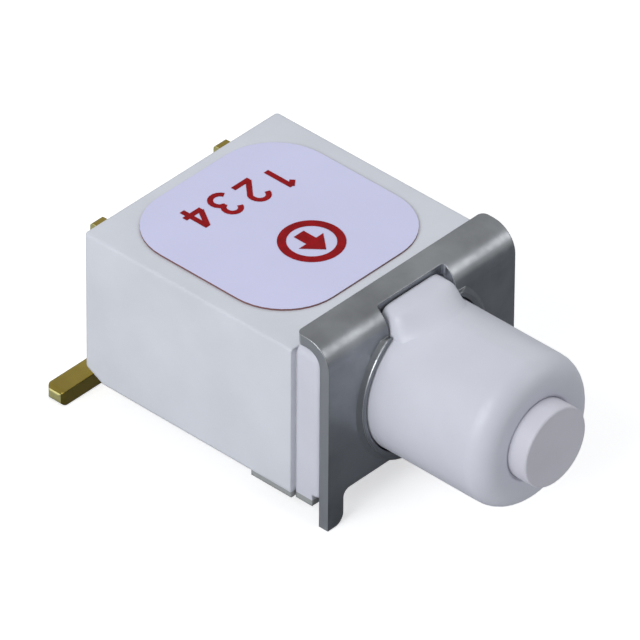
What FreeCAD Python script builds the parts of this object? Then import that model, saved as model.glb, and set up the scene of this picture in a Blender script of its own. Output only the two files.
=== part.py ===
import FreeCAD, Part
import math
import os

os.makedirs("parts", exist_ok=True)

# Right-angle surface-mount push button switch, changeover contact, momentary.
# Millimetres. X is the width, the button points to -Y, +Z is up from the board.
# While modelling, Y is 0 on the bracket's front face; save() centres the length.

# Case
case_width = 7.95
case_front_y = 1.31
case_rear_y = 9.29
case_top_z = 5.76
case_bottom_z = 0.76
side_wall = 0.78
floor_wall = 0.70
roof_wall = 0.50
rear_wall = 0.95
case_corner_radius = 0.12
case_top_radius = 0.07
heel_chamfer_height = 0.36
heel_chamfer_depth = 0.70
foot_pad_drop = 0.20
foot_pad_inset = 0.03
foot_pad_width = 0.65
foot_pad_rear_y = 2.85
foot_pad_front_y = 0.62
pocket_depth = 0.40
pocket_margin = 0.62

# Front moulding with the bushing
front_side_step = 0.145
gasket_thickness = 0.07
front_bottom_z = 0.95
front_top_step = 0.20
front_corner_radius = 0.34
axis_lift = 0.025
bushing_length = 4.40
bushing_margin = 0.14
bushing_edge_radius = 0.70
bushing_end_wall = 0.75
bushing_wall = 0.865
bushing_root_length = 0.20
bushing_root_step = 0.035
spigot_length = 0.70
fit_gap = 0.03

# Bracket, one bent sheet
sheet = 0.34
bracket_side_step = 0.02
plate_bottom_z = 1.10
flange_lift = 0.07
flange_rear_gap = 0.05
bend_radius = 0.84
opening_gap = 0.065
notch_half_width = 1.39
notch_back_y = 0.51
collar_wall = 0.14
collar_height = 0.13
collar_flare = 0.15
leg_width = 0.64
leg_corner_radius = 0.34
leg_root_radius = 0.25
flange_corner_radius = 0.22

# Plunger and what rides on it
plunger_step = 0.25
tip_length = 0.64
plunger_edge_radius = 0.05
running_gap = 0.05
travel = 0.80
piston_length = 1.25
groove_depth = 0.47
groove_width = 0.56
seal_section_radius = 0.25
stem_step = 0.30
stop_gap = 0.02
pusher_clearance = 0.26
pusher_length = 1.25
pusher_half_width = 1.40
pusher_wall = 0.25
pusher_foot_length = 0.75
pusher_foot_width = 0.70
pusher_foot_half_height = 0.50
socket_wall = 0.35
pin_radius = 0.20
pin_end_margin = 0.48

# Return spring and its seat
return_coil_gap = 0.14
return_wire_radius = 0.13
return_turns = 6.5
washer_thickness = 0.12
guide_thickness = 0.50

# Rocker, cradle and contacts
rocker_thickness = 0.25
rocker_end_margin = 0.08
rocker_half_height = 0.75
rocker_tilt_deg = 5.0
tab_half_width = 0.15
tab_reach = 0.36
contact_side_gap = 0.475
contact_radius = 0.42
contact_height = 0.20
contact_gap = 0.015
terminal_sheet = 0.30
cradle_half_width = 0.55
cradle_gap = 0.06
ear_length = 0.20
bias_coil_gap = 0.05
bias_wire_radius = 0.07
bias_turns = 4.0
spring_end_gap = 0.01
coil_steps = 14
wire_sides = 8

# Terminals and the block that holds them
base_clearance = 1.12
lead_side_margin = 1.21
lead_width = 0.45
lead_height = 0.50
lead_depth = 0.60
lead_clearance = 0.325
lead_bend_radius = 0.12
lead_inner_radius = 0.12
lead_end_radius = 0.20
outer_lead_drop = 0.27
common_lead_drop = 0.60
side_foot_overhang = 0.88
side_foot_depth = 0.65
side_foot_setback = 0.215
rear_foot_length = 0.875
pad_margin = 0.13
pad_drop = 0.58

# Sticker on the case
label_side_margin = 0.675
label_front_margin = 0.85
label_radius = 1.90
label_thickness = 0.06
label_rear_margin = 0.43

# Worked out from the sizes above
half_case = case_width / 2
cavity_half_width = half_case - side_wall
cavity_bottom_z = case_bottom_z + floor_wall
cavity_top_z = case_top_z - roof_wall
cavity_rear_y = case_rear_y - rear_wall
front_width = case_width - 2 * front_side_step
front_rear_y = case_front_y - gasket_thickness
front_top_z = case_top_z + front_top_step
front_half_height = (front_top_z - front_bottom_z) / 2
axis_z = front_bottom_z + front_half_height + axis_lift
bushing_radius = front_half_height - bushing_margin
bore_radius = bushing_radius - bushing_wall
bracket_width = front_width + 2 * bracket_side_step
flange_top_z = front_top_z + flange_lift + sheet
flange_rear_y = case_front_y - flange_rear_gap
opening_radius = bushing_radius + opening_gap
guide_front_y = front_rear_y + spigot_length
guide_rear_y = guide_front_y + guide_thickness
bore_front_y = -bushing_length + bushing_end_wall
plunger_reach = bushing_length + tip_length
plunger_radius = bore_radius - plunger_step
piston_radius = bore_radius - running_gap
piston_front_y = bore_front_y + stop_gap
piston_rear_y = piston_front_y + piston_length
groove_radius = piston_radius - groove_depth
groove_y = (piston_front_y + piston_rear_y) / 2
stem_radius = plunger_radius - stem_step
pusher_front_y = guide_rear_y + pusher_clearance
pusher_rear_y = pusher_front_y + pusher_length
pusher_foot_y = pusher_rear_y + pusher_foot_length
pusher_half_height = stem_radius + pusher_wall
stem_end_y = pusher_rear_y - socket_wall
pin_y = stem_end_y - pin_end_margin
return_coil_radius = bore_radius - return_coil_gap - return_wire_radius
spring_front_y = piston_rear_y + spring_end_gap
spring_rear_y = guide_front_y - washer_thickness - spring_end_gap
contact_x = cavity_half_width - contact_side_gap - contact_radius
rocker_y = pusher_foot_y + travel
rocker_half_length = contact_x + contact_radius + rocker_end_margin
tilt_rise = (contact_x + contact_radius) * math.sin(math.radians(rocker_tilt_deg))
fixed_contact_y = rocker_y + rocker_thickness / 2 + contact_height + tilt_rise + contact_gap
pad_front_y = fixed_contact_y + contact_height
pad_half_width = contact_radius + pad_margin
pad_bottom_z = axis_z - pad_drop
bias_room = contact_x - pad_half_width - cradle_half_width
bias_x = cradle_half_width + bias_room / 2
bias_coil_radius = bias_room / 2 - bias_coil_gap - bias_wire_radius
base_front_y = rocker_y + base_clearance
lead_pitch = half_case - lead_side_margin - lead_width / 2
outer_lead_top_z = cavity_top_z - outer_lead_drop
common_lead_top_z = axis_z - common_lead_drop
lead_rear_y = case_rear_y + lead_clearance + lead_depth
foot_rear_y = lead_rear_y + rear_foot_length
label_width = case_width - 2 * label_side_margin
label_rear_y = case_rear_y - label_rear_margin
label_front_y = flange_rear_y + label_front_margin
length_centre_y = (foot_rear_y - plunger_reach) / 2


def box(x0, x1, y0, y1, z0, z1):
    corner = FreeCAD.Vector(x0, y0, z0)
    return Part.makeBox(x1 - x0, y1 - y0, z1 - z0, corner)


def rod_y(radius, y0, y1, x=0.0, z=axis_z):
    base = FreeCAD.Vector(x, y0, z)
    return Part.makeCylinder(radius, y1 - y0, base, FreeCAD.Vector(0, 1, 0))


def join(shapes):
    whole = shapes[0].multiFuse(shapes[1:])
    return whole.removeSplitter()


def run_along(edge, axis):
    """True when a straight edge runs along the axis, 0 for X, 1 for Y and 2 for Z."""
    if len(edge.Vertexes) != 2 or not isinstance(edge.Curve, Part.Line):
        return False
    step = edge.Vertexes[1].Point - edge.Vertexes[0].Point
    return all(abs(step[other]) < 1e-6 for other in range(3) if other != axis)


def round_where(shape, radius, wanted):
    edges = [edge for edge in shape.Edges if wanted(edge, edge.CenterOfMass)]
    return shape.makeFillet(radius, edges)


def save(name, shape):
    moved = shape.copy()
    moved.translate(FreeCAD.Vector(0, -length_centre_y, 0))
    moved.exportStep("parts/" + name + ".step")


def case():
    body = box(-half_case, half_case, case_front_y, case_rear_y, case_bottom_z, case_top_z)
    body = round_where(body, case_corner_radius, lambda edge, c: run_along(edge, 2) and c.y > case_front_y + 1)
    body = round_where(body, case_top_radius, lambda edge, c: c.z > case_top_z - 0.001 and c.y > case_front_y + 0.01)
    heel = Part.makePolygon([
        FreeCAD.Vector(-half_case - 1, case_rear_y + 1, case_bottom_z - 1),
        FreeCAD.Vector(-half_case - 1, case_rear_y - heel_chamfer_depth, case_bottom_z - 1),
        FreeCAD.Vector(-half_case - 1, case_rear_y - heel_chamfer_depth, case_bottom_z),
        FreeCAD.Vector(-half_case - 1, case_rear_y, case_bottom_z + heel_chamfer_height),
        FreeCAD.Vector(-half_case - 1, case_rear_y + 1, case_bottom_z + heel_chamfer_height),
        FreeCAD.Vector(-half_case - 1, case_rear_y + 1, case_bottom_z - 1),
    ])
    body = body.cut(Part.Face(heel).extrude(FreeCAD.Vector(case_width + 2, 0, 0)))
    cavity = box(-cavity_half_width, cavity_half_width, case_front_y - 1, cavity_rear_y, cavity_bottom_z, cavity_top_z)
    pocket = rear_pocket(0.0)
    body = join([body] + foot_pads(case_front_y, foot_pad_rear_y, case_bottom_z))
    return body.cut(cavity).cut(pocket).cut(lead_passages())


def foot_pads(y0, y1, above_z):
    """A shallow pad along each side, under the front of the switch."""
    outer = half_case - foot_pad_inset
    inner = outer - foot_pad_width
    bottom = case_bottom_z - foot_pad_drop
    return [box(x, x + foot_pad_width, y0, y1, bottom, above_z + 0.1) for x in (-outer, inner)]


def rear_pocket(clearance):
    half = half_case - pocket_margin - clearance
    pocket = box(-half, half, case_rear_y - pocket_depth + clearance, case_rear_y + (1 if clearance == 0 else 0),
                 case_bottom_z + pocket_margin + clearance, case_top_z - pocket_margin + 0.12 - clearance)
    return round_where(pocket, 0.3, lambda edge, c: run_along(edge, 1))


def lead_passages():
    """The slots the three leads pass through, in the rear wall and in the sealing resin."""
    slots = []
    for x, top in ((-lead_pitch, outer_lead_top_z), (0.0, common_lead_top_z), (lead_pitch, outer_lead_top_z)):
        slots.append(box(x - lead_width / 2, x + lead_width / 2, base_front_y - 1, case_rear_y + 1,
                         top - lead_height, top))
    return Part.makeCompound(slots)


def front_housing():
    half = front_width / 2
    block = box(-half, half, sheet, front_rear_y, front_bottom_z, front_top_z)
    block = round_where(block, front_corner_radius, lambda edge, c: run_along(edge, 1) and c.z > axis_z)
    block = round_where(block, 0.2, lambda edge, c: run_along(edge, 2) and c.y < sheet + 0.01)
    block = block.cut(bend_relief())
    bushing = rod_y(bushing_radius, -bushing_length, -bushing_root_length)
    bushing = round_where(bushing, bushing_edge_radius, lambda edge, c: c.y < -bushing_length + 0.01)
    root = Part.makeCone(bushing_radius, bushing_radius + bushing_root_step, bushing_root_length + sheet + 0.2,
                         FreeCAD.Vector(0, -bushing_root_length, axis_z), FreeCAD.Vector(0, 1, 0))
    spigot = box(-cavity_half_width + fit_gap, cavity_half_width - fit_gap, front_rear_y - 0.1, guide_front_y,
                 cavity_bottom_z + fit_gap, cavity_top_z - fit_gap)
    pads = [pad.common(box(-half, half, 0, front_rear_y, 0, axis_z))
            for pad in foot_pads(foot_pad_front_y, front_rear_y, front_bottom_z)]
    body = join([block, bushing, root, spigot] + pads)
    body = body.cut(rod_y(bore_radius, bore_front_y, guide_front_y + 1))
    return body.cut(rod_y(plunger_radius + running_gap, -bushing_length - 1, bore_front_y + 0.1))


def bend_relief():
    """The rounding along the moulding's top front edge that fits inside the bracket's bend."""
    inner = bend_radius - sheet
    corner = box(-front_width, front_width, 0, bend_radius, front_top_z - inner, front_top_z + 0.1)
    centre = FreeCAD.Vector(-front_width, bend_radius, front_top_z - inner)
    return corner.cut(Part.makeCylinder(inner, 2 * front_width, centre, FreeCAD.Vector(1, 0, 0)))


def joint_gasket():
    """The thin seal in the groove between the front moulding and the case."""
    margin = 0.06
    ring = box(-half_case + 0.2, half_case - 0.2, front_rear_y, case_front_y,
               case_bottom_z + margin, case_top_z - margin - 0.1)
    return ring.cut(box(-cavity_half_width, cavity_half_width, front_rear_y - 1, case_front_y + 1,
                        cavity_bottom_z, cavity_top_z))


def bracket():
    half = bracket_width / 2
    inner = bend_radius - sheet
    bend_z = flange_top_z - bend_radius
    plate = box(-half, half, 0, sheet, plate_bottom_z, bend_z)
    flange = box(-half, half, bend_radius, flange_rear_y, flange_top_z - sheet, flange_top_z)
    centre = FreeCAD.Vector(-half, bend_radius, bend_z)
    along = FreeCAD.Vector(1, 0, 0)
    bend = Part.makeCylinder(bend_radius, bracket_width, centre, along)
    bend = bend.cut(Part.makeCylinder(inner, bracket_width, centre, along))
    bend = bend.common(box(-half, half, 0, bend_radius, bend_z, flange_top_z))
    legs = []
    for side in (-1, 1):
        edges = sorted((side * half, side * (half - leg_width)))
        leg = box(edges[0], edges[1], 0, sheet, 0, plate_bottom_z + 0.1)
        leg = round_where(leg, leg_corner_radius,
                          lambda edge, c: run_along(edge, 1) and c.z < 0.01 and abs(c.x) < half - 0.1)
        legs.append(leg)
    body = join([plate, bend, flange] + legs)
    body = round_where(body, leg_root_radius, lambda edge, c: run_along(edge, 1)
                       and abs(c.z - plate_bottom_z) < 0.01 and abs(abs(c.x) - half + leg_width) < 0.01)
    body = round_where(body, flange_corner_radius, lambda edge, c: run_along(edge, 2)
                       and c.y > flange_rear_y - 0.01)
    opening = rod_y(opening_radius, -1, bend_radius)
    notch = box(-notch_half_width, notch_half_width, -1, notch_back_y, axis_z + 1.0, flange_top_z + 1)
    notch = round_where(notch, 0.12, lambda edge, c: run_along(edge, 2) and c.y > notch_back_y - 0.01)
    return join([body, burred_collar()]).cut(opening).cut(notch)


def burred_collar():
    """The low rim drawn up round the opening, with a flare at its foot."""
    wall = opening_radius + collar_wall
    rim = rod_y(wall, -collar_height, sheet / 2)
    flare = Part.makeCone(wall, wall + collar_flare, collar_height * 0.7,
                          FreeCAD.Vector(0, -collar_height * 0.7, axis_z), FreeCAD.Vector(0, 1, 0))
    below_bend = box(-4, 4, -1, sheet, 0, flange_top_z - bend_radius)
    return rim.fuse(flare).common(below_bend)


def label():
    sticker = box(-label_width / 2, label_width / 2, label_front_y, label_rear_y,
                  case_top_z, case_top_z + label_thickness)
    return round_where(sticker, label_radius, lambda edge, c: run_along(edge, 2))


def plunger():
    tip = rod_y(plunger_radius, -plunger_reach, piston_front_y + 0.1)
    tip = round_where(tip, plunger_edge_radius, lambda edge, c: c.y < -plunger_reach + 0.01)
    piston = rod_y(piston_radius, piston_front_y, piston_rear_y)
    groove = rod_y(piston_radius + 1, groove_y - groove_width / 2, groove_y + groove_width / 2)
    groove = groove.cut(rod_y(groove_radius, piston_front_y, piston_rear_y))
    stem = rod_y(stem_radius, piston_front_y, stem_end_y)
    return join([tip, piston, stem]).cut(groove).cut(pin_rod(0.0))


def pin_rod(extra):
    height = 2 * pusher_half_height
    base = FreeCAD.Vector(0, pin_y, axis_z - pusher_half_height)
    return Part.makeCylinder(pin_radius + extra, height, base, FreeCAD.Vector(0, 0, 1))


def cross_pin():
    return pin_rod(-0.005)


def pusher():
    block = box(-pusher_half_width, pusher_half_width, pusher_front_y, pusher_rear_y,
                axis_z - pusher_half_height, axis_z + pusher_half_height)
    block = round_where(block, 0.2, lambda edge, c: run_along(edge, 2))
    foot_x = contact_x - pusher_foot_width / 2
    arm = box(0, foot_x + pusher_foot_width, pusher_rear_y - 0.6, pusher_rear_y,
              axis_z - pusher_foot_half_height, axis_z + pusher_foot_half_height)
    foot = box(foot_x, foot_x + pusher_foot_width, pusher_rear_y - 0.6, pusher_foot_y,
               axis_z - pusher_foot_half_height, axis_z + pusher_foot_half_height)
    foot = round_where(foot, 0.12, lambda edge, c: run_along(edge, 2) and c.y > pusher_foot_y - 0.01)
    body = join([block, arm, foot])
    return body.cut(rod_y(stem_radius + 0.01, pusher_front_y - 1, stem_end_y + 0.02)).cut(pin_rod(0.0))


def plunger_seal():
    """The ring in the piston's groove that keeps the bore sealed."""
    centre = FreeCAD.Vector(0, groove_y, axis_z)
    ring_radius = (groove_radius + bore_radius) / 2
    return Part.makeTorus(ring_radius, seal_section_radius, centre, FreeCAD.Vector(0, 1, 0))


def wire_rings(wire_radius, coil_radius, turns, rise):
    """Outlines of the wire's section, one after the other along a coil that climbs +Z."""
    lean = rise / (2 * math.pi * turns * coil_radius)
    steps = round(turns * coil_steps)
    rings = []
    for step in range(steps + 1):
        turn = 2 * math.pi * turns * step / steps
        out = FreeCAD.Vector(math.cos(turn), math.sin(turn), 0)
        up = FreeCAD.Vector(lean * math.sin(turn), -lean * math.cos(turn), 1).normalize()
        middle = out * coil_radius + FreeCAD.Vector(0, 0, rise * step / steps)
        ring = []
        for side in range(wire_sides):
            angle = 2 * math.pi * side / wire_sides
            ring.append(middle + out * (wire_radius * math.cos(angle)) + up * (wire_radius * math.sin(angle)))
        rings.append(ring)
    return rings


def coil(wire_radius, coil_radius, turns, y0, y1, x, z):
    """A coil between two planes, with its axis along Y, in short straight facets."""
    rings = wire_rings(wire_radius, coil_radius, turns, (y1 - y0) - 2 * wire_radius)
    faces = [Part.Face(Part.makePolygon(ring + [ring[0]])) for ring in (rings[0], rings[-1])]
    for lower, upper in zip(rings, rings[1:]):
        for side in range(wire_sides):
            after = (side + 1) % wire_sides
            corners = (lower[side], lower[after], upper[after], upper[side])
            for a, b in ((1, 2), (2, 3)):
                outline = [corners[0], corners[a], corners[b], corners[0]]
                faces.append(Part.Face(Part.makePolygon(outline)))
    shell = Part.Shell(faces)
    shell.sewShape()
    spring = Part.Solid(shell)
    spring.rotate(FreeCAD.Vector(0, 0, 0), FreeCAD.Vector(1, 0, 0), -90)
    spring.translate(FreeCAD.Vector(x, y0 + wire_radius, z))
    return spring


def return_spring():
    return coil(return_wire_radius, return_coil_radius, return_turns, spring_front_y, spring_rear_y, 0, axis_z)


def spring_washer():
    ring = rod_y(bore_radius - 0.04, guide_front_y - washer_thickness, guide_front_y)
    return ring.cut(rod_y(stem_radius + 0.08, guide_front_y - 1, guide_front_y + 1))


def guide_plate():
    plate = box(-cavity_half_width + fit_gap, cavity_half_width - fit_gap, guide_front_y, guide_rear_y,
                cavity_bottom_z + fit_gap, cavity_top_z - fit_gap)
    return plate.cut(rod_y(stem_radius + running_gap, guide_front_y - 1, guide_rear_y + 1))


def tilted(shape):
    """Turns a rocker piece from level to its rest position, the left end on its contact."""
    turned = shape.copy()
    turned.rotate(FreeCAD.Vector(0, rocker_y, axis_z), FreeCAD.Vector(0, 0, 1), -rocker_tilt_deg)
    return turned


def rocker():
    half = rocker_thickness / 2
    blade = box(-rocker_half_length, rocker_half_length, rocker_y - half, rocker_y + half,
                axis_z - rocker_half_height, axis_z + rocker_half_height)
    blade = round_where(blade, 0.25, lambda edge, c: run_along(edge, 1))
    reach = rocker_half_height + tab_reach
    tabs = box(-tab_half_width, tab_half_width, rocker_y - half, rocker_y + half, axis_z - reach, axis_z + reach)
    return tilted(join([blade, tabs]))


def rocker_contact(side):
    start = rocker_y + rocker_thickness / 2
    return tilted(rod_y(contact_radius, start, start + contact_height, side * contact_x))


def fixed_contact(side):
    return rod_y(contact_radius, fixed_contact_y, pad_front_y, side * contact_x)


def bias_spring():
    lift = bias_x * math.sin(math.radians(rocker_tilt_deg))
    edge_rise = bias_coil_radius * math.sin(math.radians(rocker_tilt_deg))
    front = rocker_y + rocker_thickness / 2 - lift + edge_rise + 0.02
    return coil(bias_wire_radius, bias_coil_radius, bias_turns, front, base_front_y - spring_end_gap,
                bias_x, axis_z)


def lead_drop(x, top):
    """The outside of a lead down to the board: straight out, then down."""
    half = lead_width / 2
    out = box(x - half, x + half, case_rear_y - 1, lead_rear_y, top - lead_height, top)
    down = box(x - half, x + half, lead_rear_y - lead_depth, lead_rear_y, 0, top)
    body = join([out, down])
    body = round_where(body, lead_bend_radius,
                       lambda edge, c: run_along(edge, 0) and c.y > lead_rear_y - 0.01 and c.z > top - 0.01)
    return round_where(body, lead_inner_radius, lambda edge, c: run_along(edge, 0)
                       and abs(c.y - lead_rear_y + lead_depth) < 0.01 and abs(c.z - top + lead_height) < 0.01)


def terminal_side(side):
    x = side * lead_pitch
    half = lead_width / 2
    tip = side * (half_case + side_foot_overhang)
    ends = sorted((x - side * half, tip))
    foot_y = lead_rear_y - side_foot_setback
    foot = box(ends[0], ends[1], foot_y - side_foot_depth, foot_y, 0, lead_height)
    foot = round_where(foot, lead_end_radius, lambda edge, c: abs(c.x - tip) < 0.01)
    tail = box(x - half, x + half, pad_front_y, case_rear_y, outer_lead_top_z - lead_height, outer_lead_top_z)
    pads = sorted((side * (contact_x - pad_half_width), side * (contact_x + pad_half_width)))
    pad = box(pads[0], pads[1], pad_front_y, pad_front_y + terminal_sheet, pad_bottom_z, outer_lead_top_z)
    body = join([lead_drop(x, outer_lead_top_z), foot, tail, pad])
    return round_where(body, lead_bend_radius, lambda edge, c: run_along(edge, 1)
                       and abs(c.x - x + side * half) < 0.01 and c.z < 0.01)


def terminal_common():
    half = lead_width / 2
    foot = box(-half, half, lead_rear_y - lead_depth, foot_rear_y, 0, lead_height)
    foot = round_where(foot, lead_end_radius, lambda edge, c: c.y > foot_rear_y - 0.01)
    web_y = base_front_y - terminal_sheet
    low = axis_z - rocker_half_height - cradle_gap
    high = axis_z + rocker_half_height + cradle_gap
    web = box(-cradle_half_width, cradle_half_width, web_y, base_front_y,
              low - terminal_sheet, high + terminal_sheet)
    tail = box(-half, half, web_y, case_rear_y, common_lead_top_z - lead_height, common_lead_top_z)
    pieces = [lead_drop(0.0, common_lead_top_z), foot, web, tail]
    for z0 in (low - terminal_sheet, high):
        ear = box(-cradle_half_width, cradle_half_width, rocker_y - ear_length, web_y + 0.1,
                  z0, z0 + terminal_sheet)
        pieces.append(ear)
    body = join(pieces)
    slot = tab_half_width + 0.06
    notch = box(-slot, slot, rocker_y - 1, rocker_y + rocker_thickness / 2 + 0.04, low - 1, high + 1)
    return body.cut(notch)


def terminal_base():
    """The insulating block inside the rear wall; the three leads are moulded into it."""
    block = box(-cavity_half_width + fit_gap, cavity_half_width - fit_gap, base_front_y, cavity_rear_y,
                cavity_bottom_z + fit_gap, cavity_top_z - fit_gap)
    return block.cut(lead_passages())


def rear_seal():
    """The resin that fills the rear pocket round the leads."""
    return rear_pocket(0.001).cut(lead_passages())


single_parts = {
    "case": case,
    "front_housing": front_housing,
    "joint_gasket": joint_gasket,
    "bracket": bracket,
    "label": label,
    "plunger": plunger,
    "cross_pin": cross_pin,
    "pusher": pusher,
    "plunger_seal": plunger_seal,
    "return_spring": return_spring,
    "spring_washer": spring_washer,
    "guide_plate": guide_plate,
    "rocker": rocker,
    "bias_spring": bias_spring,
    "terminal_common": terminal_common,
    "terminal_base": terminal_base,
    "rear_seal": rear_seal,
}
for part_name, build_part in single_parts.items():
    save(part_name, build_part())

sided_parts = {
    "terminal": terminal_side,
    "rocker_contact": rocker_contact,
    "fixed_contact": fixed_contact,
}
for part_name, build_part in sided_parts.items():
    save(part_name + "_left", build_part(-1))
    save(part_name + "_right", build_part(1))
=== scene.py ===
import math

import bmesh
import bpy
from mathutils import Matrix, Vector


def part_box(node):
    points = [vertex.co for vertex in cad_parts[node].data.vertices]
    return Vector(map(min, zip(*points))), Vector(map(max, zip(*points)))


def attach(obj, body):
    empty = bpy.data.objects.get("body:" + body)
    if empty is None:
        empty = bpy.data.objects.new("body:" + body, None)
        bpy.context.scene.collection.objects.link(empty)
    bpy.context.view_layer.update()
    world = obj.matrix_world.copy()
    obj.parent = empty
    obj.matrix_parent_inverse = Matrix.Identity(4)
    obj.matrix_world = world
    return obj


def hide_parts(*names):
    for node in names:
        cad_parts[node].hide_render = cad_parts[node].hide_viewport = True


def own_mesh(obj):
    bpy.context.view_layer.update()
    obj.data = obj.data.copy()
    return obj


MM = 0.001

# Camera: a long lens from the left, in front and above
CAMERA_AZIMUTH = -47.34
CAMERA_ELEVATION = 37.15
CAMERA_ROLL = 0.41
CAMERA_LENS = 675.0
SENSOR_WIDTH = 36.0
CAMERA_DISTANCE = 0.3375
CLIP_START = 0.01
CLIP_END = 10.0
AIM_RIGHT = 0.00664
AIM_UP = -0.00246

# Light. Each lamp: name, place and size in millimetres, power, colour,
# whether it lights matt faces, and whether it shows in glossy ones
LAMPS = (
    ("key_left", (-140, -10, 100), 120, 0.181, (0.97, 0.985, 1.0), True, True),
    ("right_soft", (112, 8, 128), 200, 0.120, (0.99, 1.0, 0.99), True, False),
    ("bend_glint", (105, -120, 100), 80, 0.035, (1.0, 1.0, 1.0), False, True),
)
LAMP_TARGET = (0, 0, 2.5)
SKY_TINT = (0.95, 0.97, 1.0)
SKY_FILL = 0.31
SKY_IN_METAL = 0.78
FLOOR_GLOW = 0.57
FLOOR_HALF = 600
FLOOR_DROP = 0.02

# Colours, as linear light
WHITE_CASE = (0.672, 0.694, 0.752)
WHITE_FRONT = (0.648, 0.658, 0.732)
WHITE_PLUNGER = (0.645, 0.64, 0.71)
GASKET_GREY = (0.78, 0.76, 0.77)
# Painted shade: the pads under the case and the front moulding, below PAD_TOP_Z, take this grey for the
# shadow under the overhang
PAD_PAINTED_SHADE = (0.34, 0.35, 0.35)
PAD_TOP_Z = 0.755
STEEL = (0.240, 0.252, 0.266)
# Painted highlight: the bracket's faces facing -X, such as its left cut edges, are lighter for their
# glints
STEEL_LEFT_FACE_HIGHLIGHT = (0.62, 0.64, 0.66)
GOLD = (0.285, 0.22, 0.046)
# Painted highlight: the leads' faces facing -X, such as the foot ends, are lighter for their glints
GOLD_LEFT_FACE_HIGHLIGHT = (1.0, 0.93, 0.40)
SPRING_STEEL = (0.45, 0.45, 0.46)
SILVER = (0.60, 0.60, 0.58)
CONTACT_BRASS = (0.55, 0.38, 0.13)
BLACK_PLASTIC = (0.012, 0.012, 0.013)
RUBBER = (0.008, 0.008, 0.009)
RESIN = (0.50, 0.44, 0.32)
STICKER = (0.65, 0.655, 0.89)
STICKER_EDGE = (0.20, 0.085, 0.08)
PRINT_RED = (0.29, 0.003, 0.006)
FLOOR_WHITE = (0.76, 0.76, 0.76)
FLOOR_IN_METAL = (0.355, 0.365, 0.385)

# Surface detail: noise scales in cycles per millimetre, depths and edge radii in millimetres
PLASTIC_CLOUD = 0.35
PLASTIC_GRAIN = 9.0
PLASTIC_GRAIN_DEPTH = 0.006
PLASTIC_EDGE = 0.11
METAL_PATCH = 0.5
METAL_LINE = 5.0
METAL_LINE_DEPTH = 0.0015
METAL_WAVE = 0.55
METAL_EDGE = 0.05
STICKER_CLOUD = 0.3
STICKER_GRAIN = 6.0
STICKER_GRAIN_DEPTH = 0.002
STICKER_EDGE_RADIUS = 0.01
INK_GRAIN = 4.0
BEVEL_SAMPLES = 6

# Shapes that finish the moulding and the springs, millimetres.
# Each spring: node, wire radius, turns, closed turns at each end, joint and how far it shortens
BUSHING_RADIUS = 2.365
TIP_LENGTH = 0.64
LIP_PROFILE = ((1.255, 0.16), (1.255, 0.05), (1.275, 0.02), (1.299, 0.02), (1.299, 0.16))
COLLAR_HEIGHT = 0.13
KEY_HALF_WIDTH = 1.36
KEY_TOP_Z = 6.14
KEY_BOTTOM_Z = 5.2
KEY_SINK = 0.02
KEY_RAMP = 1.20
KEY_SIDE_RAMP = 0.45
KEY_ROUNDING = 10
KEY_BACK = 0.47
KEY_STEPS = 32
LATHE_STEPS = 96
COIL_STEPS = 32
WIRE_SIDES = 12
SPRINGS = (
    ("return_spring", 0.13, 6.5, 1.0, "plunger_slide", 0.80),
    ("bias_spring", 0.07, 4.0, 0.75, "rocker_tilt", 0.20),
)

# Print on the sticker, millimetres
PRINT_LIFT = 0.004
PRINT_THICKNESS = 0.008
PRINT_LAYER = 0.002
DIGIT_HEIGHT = 1.02
DIGIT_STROKE = 0.17
DIGIT_PITCH = 0.98
DIGIT_START = (1.65, 3.95)
DIGIT_SLANT = 0.14
MARK_RADIUS = 0.98
MARK_STROKE = 0.26
MARK_CENTRE = (0.06, 1.27)
MARK_SIDES = 64
ARROW_TIP = 0.56
ARROW_NECK = -0.02
ARROW_TAIL = -0.50
ARROW_HEAD_HALF = 0.50
ARROW_SHAFT_HALF = 0.20


def mm(x, y, z):
    return Vector((x, y, z)) * MM


def camera_axes():
    azimuth = math.radians(CAMERA_AZIMUTH)
    elevation = math.radians(CAMERA_ELEVATION)
    roll = math.radians(CAMERA_ROLL)
    back = Vector((math.sin(azimuth) * math.cos(elevation),
                   -math.cos(azimuth) * math.cos(elevation),
                   math.sin(elevation)))
    level = Vector((math.cos(azimuth), math.sin(azimuth), 0.0))
    upright = back.cross(level)
    right = math.cos(roll) * level + math.sin(roll) * upright
    up = math.cos(roll) * upright - math.sin(roll) * level
    return right, up, back


def make_camera():
    right, up, back = camera_axes()
    low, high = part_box("case")
    corner = Vector((low.x, high.y, high.z))
    place = corner + AIM_RIGHT * right + AIM_UP * up + CAMERA_DISTANCE * back
    data = bpy.data.cameras.new("camera")
    data.lens = CAMERA_LENS
    data.sensor_width = SENSOR_WIDTH
    data.sensor_fit = "HORIZONTAL"
    data.clip_start = CLIP_START
    data.clip_end = CLIP_END
    camera = bpy.data.objects.new("camera", data)
    turn = Matrix((right, up, back)).transposed().to_4x4()
    camera.matrix_world = Matrix.Translation(place) @ turn
    bpy.context.scene.collection.objects.link(camera)
    bpy.context.scene.camera = camera


def add_lamp(name, place, size, power, colour, on_matt, on_gloss):
    """A round lamp aimed at the switch."""
    data = bpy.data.lights.new(name, "AREA")
    data.shape = "DISK"
    data.size = size * MM
    data.energy = power
    data.color = colour
    lamp = bpy.data.objects.new(name, data)
    lamp.location = mm(*place)
    lamp.visible_diffuse = on_matt
    lamp.visible_glossy = on_gloss
    lamp.rotation_euler = (mm(*LAMP_TARGET) - mm(*place)).to_track_quat("-Z", "Y").to_euler()
    bpy.context.scene.collection.objects.link(lamp)


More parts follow.
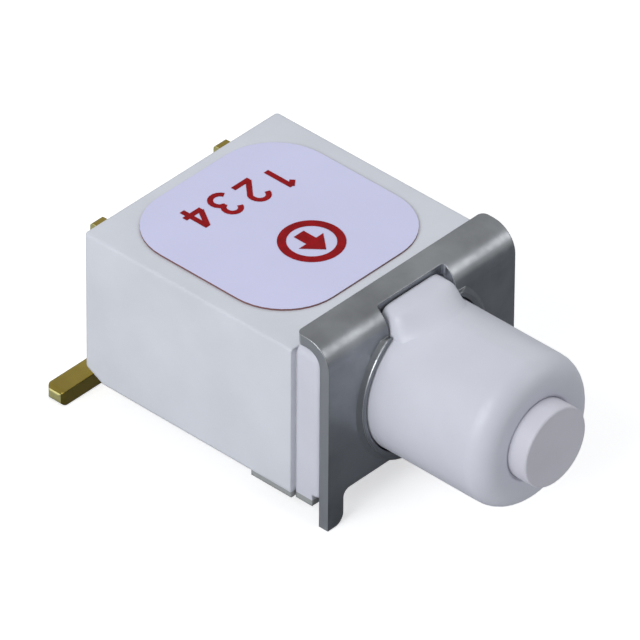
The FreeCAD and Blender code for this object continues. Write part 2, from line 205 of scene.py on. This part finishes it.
def make_studio():
    """White behind the switch, a dim sky that lights it, and a brighter one in its glossy faces."""
    world = bpy.data.worlds.new("studio")
    bpy.context.scene.world = world
    world.use_nodes = True
    nodes = world.node_tree.nodes
    links = world.node_tree.links
    backdrop = nodes["Background"]
    backdrop.inputs["Color"].default_value = (1, 1, 1, 1)
    backdrop.inputs["Strength"].default_value = 1.0
    fill = nodes.new("ShaderNodeBackground")
    fill.inputs["Color"].default_value = (*SKY_TINT, 1)
    fill.inputs["Strength"].default_value = SKY_FILL
    mirrored = nodes.new("ShaderNodeBackground")
    mirrored.inputs["Color"].default_value = (1, 1, 1, 1)
    mirrored.inputs["Strength"].default_value = SKY_IN_METAL
    path = nodes.new("ShaderNodeLightPath")
    lighting = nodes.new("ShaderNodeMixShader")
    links.new(path.outputs["Is Glossy Ray"], lighting.inputs["Fac"])
    links.new(fill.outputs[0], lighting.inputs[1])
    links.new(mirrored.outputs[0], lighting.inputs[2])
    mix = nodes.new("ShaderNodeMixShader")
    links.new(path.outputs["Is Camera Ray"], mix.inputs["Fac"])
    links.new(lighting.outputs[0], mix.inputs[1])
    links.new(backdrop.outputs[0], mix.inputs[2])
    links.new(mix.outputs[0], nodes["World Output"].inputs["Surface"])
    for lamp in LAMPS:
        add_lamp(*lamp)


def make_floor():
    """A white floor that takes the shadow, a little below the feet, and shows darker in metal."""
    mesh = bpy.data.meshes.new("floor")
    half = FLOOR_HALF * MM
    corners = [(-half, -half), (half, -half), (half, half), (-half, half)]
    mesh.from_pydata([(x, y, -FLOOR_DROP * MM) for x, y in corners], [], [(0, 1, 2, 3)])
    floor = bpy.data.objects.new("floor", mesh)
    bpy.context.scene.collection.objects.link(floor)
    material = bpy.data.materials.new("floor")
    material.use_nodes = True
    nodes = material.node_tree.nodes
    links = material.node_tree.links
    shader = nodes["Principled BSDF"]
    shader.inputs["Base Color"].default_value = (*FLOOR_WHITE, 1)
    shader.inputs["Roughness"].default_value = 0.9
    shader.inputs["Specular IOR Level"].default_value = 0.0
    glow = nodes.new("ShaderNodeEmission")
    glow.inputs["Strength"].default_value = FLOOR_GLOW
    path = nodes.new("ShaderNodeLightPath")
    both = nodes.new("ShaderNodeAddShader")
    links.new(shader.outputs[0], both.inputs[0])
    links.new(glow.outputs[0], both.inputs[1])
    mirrored = nodes.new("ShaderNodeBsdfDiffuse")
    mirrored.inputs["Color"].default_value = (*FLOOR_IN_METAL, 1)
    seen = nodes.new("ShaderNodeMixShader")
    links.new(path.outputs["Is Camera Ray"], seen.inputs["Fac"])
    links.new(shader.outputs[0], seen.inputs[1])
    links.new(both.outputs[0], seen.inputs[2])
    mix = nodes.new("ShaderNodeMixShader")
    links.new(path.outputs["Is Glossy Ray"], mix.inputs["Fac"])
    links.new(seen.outputs[0], mix.inputs[1])
    links.new(mirrored.outputs[0], mix.inputs[2])
    links.new(mix.outputs[0], nodes["Material Output"].inputs["Surface"])
    mesh.materials.append(material)


def start_material(name, roughness, metallic=0.0, specular=0.5):
    material = bpy.data.materials.new(name)
    material.use_nodes = True
    shader = material.node_tree.nodes["Principled BSDF"]
    shader.inputs["Roughness"].default_value = roughness
    shader.inputs["Metallic"].default_value = metallic
    shader.inputs["Specular IOR Level"].default_value = specular
    return material, material.node_tree.nodes, material.node_tree.links, shader


def noise(nodes, links, scale, detail=3.0, stretch=(1, 1, 1)):
    """A noise in the part's own coordinates, scale in cycles per millimetre."""
    place = nodes.new("ShaderNodeTexCoord")
    spread = nodes.new("ShaderNodeMapping")
    spread.inputs["Scale"].default_value = stretch
    texture = nodes.new("ShaderNodeTexNoise")
    texture.inputs["Scale"].default_value = scale / MM
    texture.inputs["Detail"].default_value = detail
    links.new(place.outputs["Object"], spread.inputs["Vector"])
    links.new(spread.outputs["Vector"], texture.inputs["Vector"])
    return texture.outputs["Fac"]


def ramp(nodes, links, source, low, high, start=0.35, end=0.65):
    node = nodes.new("ShaderNodeValToRGB")
    node.color_ramp.elements[0].position = start
    node.color_ramp.elements[1].position = end
    node.color_ramp.elements[0].color = (*low, 1)
    node.color_ramp.elements[1].color = (*high, 1)
    links.new(source, node.inputs["Fac"])
    return node.outputs["Color"]


def value_ramp(nodes, links, source, low, high, start=0.3, end=0.7):
    node = nodes.new("ShaderNodeMapRange")
    node.inputs["From Min"].default_value = start
    node.inputs["From Max"].default_value = end
    node.inputs["To Min"].default_value = low
    node.inputs["To Max"].default_value = high
    links.new(source, node.inputs["Value"])
    return node.outputs["Result"]


def bump(nodes, links, shader, layers, edge_mm):
    """Bumps over softly rounded edges. Each layer is a source, its depth in millimetres and a strength."""
    edge = nodes.new("ShaderNodeBevel")
    edge.samples = BEVEL_SAMPLES
    edge.inputs["Radius"].default_value = edge_mm * MM
    normal = edge.outputs["Normal"]
    for source, depth_mm, strength in layers:
        node = nodes.new("ShaderNodeBump")
        node.inputs["Strength"].default_value = strength
        node.inputs["Distance"].default_value = depth_mm * MM
        links.new(source, node.inputs["Height"])
        links.new(normal, node.inputs["Normal"])
        normal = node.outputs["Normal"]
    links.new(normal, shader.inputs["Normal"])


def facing(nodes, links, axis, limit):
    """1 where the surface's own normal has more than limit along the axis, else 0."""
    geometry = nodes.new("ShaderNodeNewGeometry")
    along = nodes.new("ShaderNodeVectorMath")
    along.operation = "DOT_PRODUCT"
    along.inputs[1].default_value = axis
    links.new(geometry.outputs["True Normal"], along.inputs[0])
    test = nodes.new("ShaderNodeMath")
    test.operation = "GREATER_THAN"
    test.inputs[1].default_value = limit
    links.new(along.outputs["Value"], test.inputs[0])
    return test.outputs[0]


def below(nodes, links, height_mm):
    """1 where the part's own height is less than height_mm, else 0."""
    place = nodes.new("ShaderNodeTexCoord")
    parts = nodes.new("ShaderNodeSeparateXYZ")
    test = nodes.new("ShaderNodeMath")
    test.operation = "LESS_THAN"
    test.inputs[1].default_value = height_mm * MM
    links.new(place.outputs["Object"], parts.inputs["Vector"])
    links.new(parts.outputs["Z"], test.inputs[0])
    return test.outputs[0]


def mix_colours(nodes, links, share, first, second):
    """Blends two colours, each a socket or a fixed colour."""
    mix = nodes.new("ShaderNodeMix")
    mix.data_type = "RGBA"
    links.new(share, mix.inputs["Factor"])
    for socket, colour in ((mix.inputs[6], first), (mix.inputs[7], second)):
        if isinstance(colour, tuple):
            socket.default_value = (*colour, 1)
        else:
            links.new(colour, socket)
    return mix.outputs[2]


def scaled(colour, factor):
    return tuple(channel * factor for channel in colour)


def moulded_plastic(name, colour, roughness=0.42, grain=0.4, pad_shade_colour=None):
    """Satin moulded plastic: faint cloudy tone, a fine grain, uneven gloss and perhaps painted shade on
    the pads at its bottom.
    """
    material, nodes, links, shader = start_material(name, roughness)
    cloud = noise(nodes, links, PLASTIC_CLOUD, 4.0)
    tone = ramp(nodes, links, cloud, scaled(colour, 0.955), scaled(colour, 1.03))
    # Painted shade: below PAD_TOP_Z the colour turns to the pad's shade grey
    if pad_shade_colour:
        tone = mix_colours(nodes, links, below(nodes, links, PAD_TOP_Z), tone, pad_shade_colour)
    links.new(tone, shader.inputs["Base Color"])
    grain_field = noise(nodes, links, PLASTIC_GRAIN, 3.0)
    gloss = value_ramp(nodes, links, grain_field, roughness - 0.05, roughness + 0.08)
    links.new(gloss, shader.inputs["Roughness"])
    bump(nodes, links, shader, [(grain_field, PLASTIC_GRAIN_DEPTH, grain)], PLASTIC_EDGE)
    return material


def plated_metal(name, colour, roughness, streak=(1, 1, 1), uneven=0.12, wave_mm=0.02, left_face_highlight=None):
    """Plated sheet or wire: soft patches of tone, fine drawn lines, slow waves, uneven gloss and perhaps a
    painted highlight on faces that face -X.
    """
    material, nodes, links, shader = start_material(name, roughness, metallic=1.0)
    patches = noise(nodes, links, METAL_PATCH, 4.0)
    tone = ramp(nodes, links, patches, scaled(colour, 1 - uneven), scaled(colour, 1 + uneven))
    links.new(tone, shader.inputs["Base Color"])
    lines = noise(nodes, links, METAL_LINE, 2.0, streak)
    gloss = value_ramp(nodes, links, lines, roughness * 0.88, roughness * 1.16)
    links.new(gloss, shader.inputs["Roughness"])
    waves = noise(nodes, links, METAL_WAVE, 2.0)
    bump(nodes, links, shader, [(waves, wave_mm, 0.6), (lines, METAL_LINE_DEPTH, 0.15)], METAL_EDGE)
    # Painted highlight: faces that face -X get a lighter colour, standing in for glints on cut edges and
    # ends
    if left_face_highlight:
        facing_left = facing(nodes, links, (-1, 0, 0), 0.8)
        links.new(mix_colours(nodes, links, facing_left, tone, left_face_highlight), shader.inputs["Base Color"])
    return material


def sticker_paper():
    """Coated pale paper, with the cut edge in a warm brown."""
    material, nodes, links, shader = start_material("sticker", 0.38)
    cloud = noise(nodes, links, STICKER_CLOUD, 3.0)
    face = ramp(nodes, links, cloud, scaled(STICKER, 0.975), scaled(STICKER, 1.015))
    upward = facing(nodes, links, (0, 0, 1), 0.5)
    links.new(mix_colours(nodes, links, upward, STICKER_EDGE, face), shader.inputs["Base Color"])
    grain = noise(nodes, links, STICKER_GRAIN, 2.0)
    bump(nodes, links, shader, [(grain, STICKER_GRAIN_DEPTH, 0.3)], STICKER_EDGE_RADIUS)
    return material


def red_ink():
    material, nodes, links, shader = start_material("red_ink", 0.55, specular=0.12)
    density = noise(nodes, links, INK_GRAIN, 3.0)
    tone = ramp(nodes, links, density, scaled(PRINT_RED, 0.82), scaled(PRINT_RED, 1.12))
    links.new(tone, shader.inputs["Base Color"])
    return material


def make_materials():
    return {
        "case": moulded_plastic("case_white", WHITE_CASE, pad_shade_colour=PAD_PAINTED_SHADE),
        "front": moulded_plastic("front_white", WHITE_FRONT, 0.40, pad_shade_colour=PAD_PAINTED_SHADE),
        "plunger": moulded_plastic("plunger_white", WHITE_PLUNGER, 0.46),
        "gasket": moulded_plastic("gasket_grey", GASKET_GREY, 0.7),
        "black": moulded_plastic("black_plastic", BLACK_PLASTIC, 0.5),
        "rubber": moulded_plastic("seal_rubber", RUBBER, 0.6),
        "resin": moulded_plastic("resin", RESIN, 0.22, 0.8),
        "steel": plated_metal("tinned_steel", STEEL, 0.32, (1, 1, 0.25), 0.2, left_face_highlight=STEEL_LEFT_FACE_HIGHLIGHT),
        "gold": plated_metal("gold_plate", GOLD, 0.22, uneven=0.2, wave_mm=0.03, left_face_highlight=GOLD_LEFT_FACE_HIGHLIGHT),
        "wire": plated_metal("spring_wire", SPRING_STEEL, 0.28),
        "silver": plated_metal("silver_contact", SILVER, 0.32),
        "brass": plated_metal("contact_brass", CONTACT_BRASS, 0.28),
        "sticker": sticker_paper(),
        "ink": red_ink(),
    }


NODE_FINISH = {
    "case": "case",
    "front_housing": "front",
    "joint_gasket": "gasket",
    "bracket": "steel",
    "label": "sticker",
    "plunger": "plunger",
    "cross_pin": "wire",
    "pusher": "black",
    "plunger_seal": "rubber",
    "return_spring": "wire",
    "spring_washer": "wire",
    "guide_plate": "black",
    "rocker": "brass",
    "rocker_contact_left": "silver",
    "rocker_contact_right": "silver",
    "fixed_contact_left": "silver",
    "fixed_contact_right": "silver",
    "bias_spring": "wire",
    "terminal_common": "gold",
    "terminal_left": "gold",
    "terminal_right": "gold",
    "terminal_base": "black",
    "rear_seal": "resin",
}


def dress_nodes(materials):
    for node, finish in NODE_FINISH.items():
        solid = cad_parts[node]
        solid.data.materials.clear()
        solid.data.materials.append(materials[finish])


def stroke_outline(points, width):
    """Left and right sides of a flat pen line through the points."""
    left, right = [], []
    for index, point in enumerate(points):
        before = points[max(index - 1, 0)]
        after = points[min(index + 1, len(points) - 1)]
        run = (Vector(after) - Vector(before)).normalized()
        side = Vector((-run.y, run.x)) * width / 2
        left.append(Vector(point) + side)
        right.append(Vector(point) - side)
    return left, right


def arc(cx, cy, radius_x, radius_y, start, end, steps=14):
    points = []
    for step in range(steps + 1):
        angle = math.radians(start + (end - start) * step / steps)
        points.append((cx + radius_x * math.cos(angle), cy + radius_y * math.sin(angle)))
    return points


DIGITS = {
    "1": [[(-0.16, 0.30), (0.06, 0.48)], [(0.06, 0.5), (0.06, -0.5)]],
    "2": [arc(0, 0.22, 0.26, 0.28, 165, -25, 12) + [(-0.27, -0.44)], [(-0.32, -0.46), (0.32, -0.46)]],
    "3": [arc(0, 0.24, 0.24, 0.25, 160, -80, 12), arc(0, -0.23, 0.28, 0.27, 80, -160, 12)],
    "4": [[(0.14, -0.5), (0.14, 0.5)], [(0.12, 0.46), (-0.28, -0.18)], [(-0.32, -0.20), (0.34, -0.20)]],
}


def print_piece(name, strokes, width, origin, across, up, material):
    """Flat ink on the sticker: pen strokes in the plane of across and up, in millimetres."""
    maker = bmesh.new()
    for layer, points in enumerate(strokes):
        lift = Vector((0, 0, PRINT_THICKNESS + PRINT_LAYER * layer))
        left, right = stroke_outline(points, width)
        tops, floors = [], []
        for a, b in zip(left, right):
            pair = [origin + across * side.x + up * side.y for side in (a, b)]
            floors.append([maker.verts.new(p * MM) for p in pair])
            tops.append([maker.verts.new((p + lift) * MM) for p in pair])
        for index in range(len(points) - 1):
            a0, b0 = tops[index]
            a1, b1 = tops[index + 1]
            c0, d0 = floors[index]
            c1, d1 = floors[index + 1]
            maker.faces.new((a0, b0, b1, a1))
            maker.faces.new((c0, c1, d1, d0))
            maker.faces.new((a0, a1, c1, c0))
            maker.faces.new((b0, d0, d1, b1))
        for end in (0, -1):
            a, b = tops[end]
            c, d = floors[end]
            maker.faces.new((a, c, d, b))
    bmesh.ops.recalc_face_normals(maker, faces=maker.faces)
    mesh = bpy.data.meshes.new(name)
    maker.to_mesh(mesh)
    maker.free()
    mesh.materials.append(material)
    piece = bpy.data.objects.new(name, mesh)
    bpy.context.scene.collection.objects.link(piece)
    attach(piece, "body")


def print_sticker(material):
    """Plain numbers along the rear of the sticker and an arrow in a ring, pointing at the button."""
    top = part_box("label")[1].z / MM + PRINT_LIFT
    across = Vector((-1, 0, 0))
    up = Vector((0, -1, 0))
    lift = Vector((0, 0, PRINT_THICKNESS))
    for place, digit in enumerate("1234"):
        strokes = [[(x * DIGIT_HEIGHT, y * DIGIT_HEIGHT) for x, y in line] for line in DIGITS[digit]]
        origin = Vector((DIGIT_START[0] - DIGIT_PITCH * place, DIGIT_START[1] + DIGIT_SLANT * place, top))
        print_piece("print_digit_" + digit, strokes, DIGIT_STROKE, origin, across, up, material)
    centre = Vector((*MARK_CENTRE, top))
    outer = arc(0, 0, MARK_RADIUS, MARK_RADIUS, 0, 360, MARK_SIDES)[:-1]
    inner = [Vector(point) * (1 - MARK_STROKE / MARK_RADIUS) for point in outer]
    sections = []
    for outside, inside in zip(outer, inner):
        edges = [centre + across * point[0] + up * point[1] for point in (outside, inside)]
        sections.append([edges[0] * MM, (edges[0] + lift) * MM, (edges[1] + lift) * MM, edges[1] * MM])
    solid_piece("print_ring", sections, material, "body", closed=True, smooth=False)
    neck = (ARROW_SHAFT_HALF, ARROW_NECK)
    one_side = [(ARROW_HEAD_HALF, ARROW_NECK), neck, (ARROW_SHAFT_HALF, ARROW_TAIL)]
    other_side = [(-x, y) for x, y in reversed(one_side)]
    base = [centre + across * x + up * y for x, y in [(0, ARROW_TIP)] + one_side + other_side]
    arrow = [[point * MM for point in base], [(point + lift) * MM for point in base]]
    solid_piece("print_arrow", arrow, material, "body", smooth=False)


def solid_piece(name, rings, material, body, closed=False, smooth=True):
    """A closed skin over rings of points in metres, with capped ends unless the run closes on itself."""
    maker = bmesh.new()
    loops = [[maker.verts.new(point) for point in ring] for ring in rings]
    follow = loops[1:] + ([loops[0]] if closed else [])
    for lower, upper in zip(loops, follow):
        for index in range(len(lower)):
            after = (index + 1) % len(lower)
            maker.faces.new((lower[index], lower[after], upper[after], upper[index]))
    if not closed:
        maker.faces.new(loops[0][::-1])
        maker.faces.new(loops[-1])
    bmesh.ops.recalc_face_normals(maker, faces=maker.faces)
    for face in maker.faces:
        face.smooth = smooth
    mesh = bpy.data.meshes.new(name)
    maker.to_mesh(mesh)
    maker.free()
    mesh.materials.append(material)
    piece = bpy.data.objects.new(name, mesh)
    bpy.context.scene.collection.objects.link(piece)
    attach(piece, body)
    return piece


def coil_piece(node, wire_mm, turns, dead_turns, material):
    """A smooth wire coil in the box of the node it replaces, with its end turns closed up."""
    low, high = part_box(node)
    wire = wire_mm * MM
    middle_x = (low.x + high.x) / 2
    middle_z = (low.z + high.z) / 2
    radius = (high.x - low.x) / 2 - wire
    start = low.y + wire
    length = high.y - low.y - 2 * wire
    dead_rise = 2.05 * wire * dead_turns
    steps = round(turns * COIL_STEPS)
    rings = []
    for step in range(steps + 1):
        turned = turns * step / steps
        live = (turned - dead_turns) / (turns - 2 * dead_turns)
        if turned < dead_turns:
            rise = dead_rise * turned / dead_turns
        elif live > 1:
            rise = length - dead_rise * (turns - turned) / dead_turns
        else:
            rise = dead_rise + (length - 2 * dead_rise) * live
        angle = 2 * math.pi * turned
        out = Vector((math.cos(angle), 0, math.sin(angle)))
        centre = Vector((middle_x, start + rise, middle_z)) + out * radius
        ring = []
        for side in range(WIRE_SIDES):
            bend = 2 * math.pi * side / WIRE_SIDES
            ring.append(centre + out * wire * math.cos(bend) + Vector((0, wire * math.sin(bend), 0)))
        rings.append(ring)
    spring = solid_piece(node + "_wire", rings, material, "body")
    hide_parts(node)
    return spring


def add_springs(material):
    """The two coils, built in place of the CAD springs."""
    for node, wire, turns, dead, joint, stroke in SPRINGS:
        spring = coil_piece(node, wire, turns, dead, material)
        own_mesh(spring)


def add_lip(axis_z, material):
    """The wiping lip at the bushing's end, round the plunger."""
    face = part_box("plunger")[0].y + TIP_LENGTH * MM
    rings = []
    for step in range(LATHE_STEPS):
        angle = 2 * math.pi * step / LATHE_STEPS
        out = Vector((math.cos(angle), 0, math.sin(angle)))
        axis = Vector((0, 0, axis_z))
        rings.append([axis + out * (radius * MM) + Vector((0, face + depth * MM, 0))
                      for radius, depth in LIP_PROFILE])
    solid_piece("bushing_lip", rings, material, "body", closed=True)


def add_key(axis_z, material):
    """The key that runs up from the bushing's top and fills the bracket's notch."""
    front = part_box("bracket")[0].y / MM + COLLAR_HEIGHT
    columns = []
    for step in range(KEY_STEPS + 1):
        share = step / KEY_STEPS
        y = front - KEY_RAMP + (KEY_RAMP + KEY_BACK) * share
        ring = []
        for across in range(KEY_STEPS + 1):
            side = 2 * across / KEY_STEPS - 1
            x = KEY_HALF_WIDTH * side
            ramp_length = KEY_SIDE_RAMP + (KEY_RAMP - KEY_SIDE_RAMP) * (1 - side ** 2)
            climbed = min(max((y - front) / ramp_length + 1, 0), 1)
            blend = climbed * climbed * (3 - 2 * climbed)
            shoulder = 1 - abs(side) ** KEY_ROUNDING
            skin = axis_z / MM + math.sqrt(BUSHING_RADIUS ** 2 - x ** 2) - KEY_SINK
            ring.append(mm(x, y, skin + (KEY_TOP_Z - skin) * blend * shoulder))
        ring.append(mm(KEY_HALF_WIDTH, y, KEY_BOTTOM_Z))
        ring.append(mm(-KEY_HALF_WIDTH, y, KEY_BOTTOM_Z))
        columns.append(ring)
    solid_piece("bushing_key", columns, material, "body")


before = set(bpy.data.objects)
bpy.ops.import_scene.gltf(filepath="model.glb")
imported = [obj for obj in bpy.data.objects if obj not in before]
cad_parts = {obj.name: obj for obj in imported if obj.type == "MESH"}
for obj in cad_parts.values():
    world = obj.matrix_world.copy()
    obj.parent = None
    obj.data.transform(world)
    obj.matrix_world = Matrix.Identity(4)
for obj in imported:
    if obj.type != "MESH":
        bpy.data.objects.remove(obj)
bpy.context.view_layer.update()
make_camera()
make_studio()
make_floor()
bpy.context.scene.view_settings.view_transform = "Standard"
finishes = make_materials()
dress_nodes(finishes)
print_sticker(finishes["ink"])
add_springs(finishes["wire"])
plunger_low, plunger_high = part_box("plunger")
bushing_axis_z = (plunger_low.z + plunger_high.z) / 2
add_lip(bushing_axis_z, finishes["front"])
add_key(bushing_axis_z, finishes["front"])
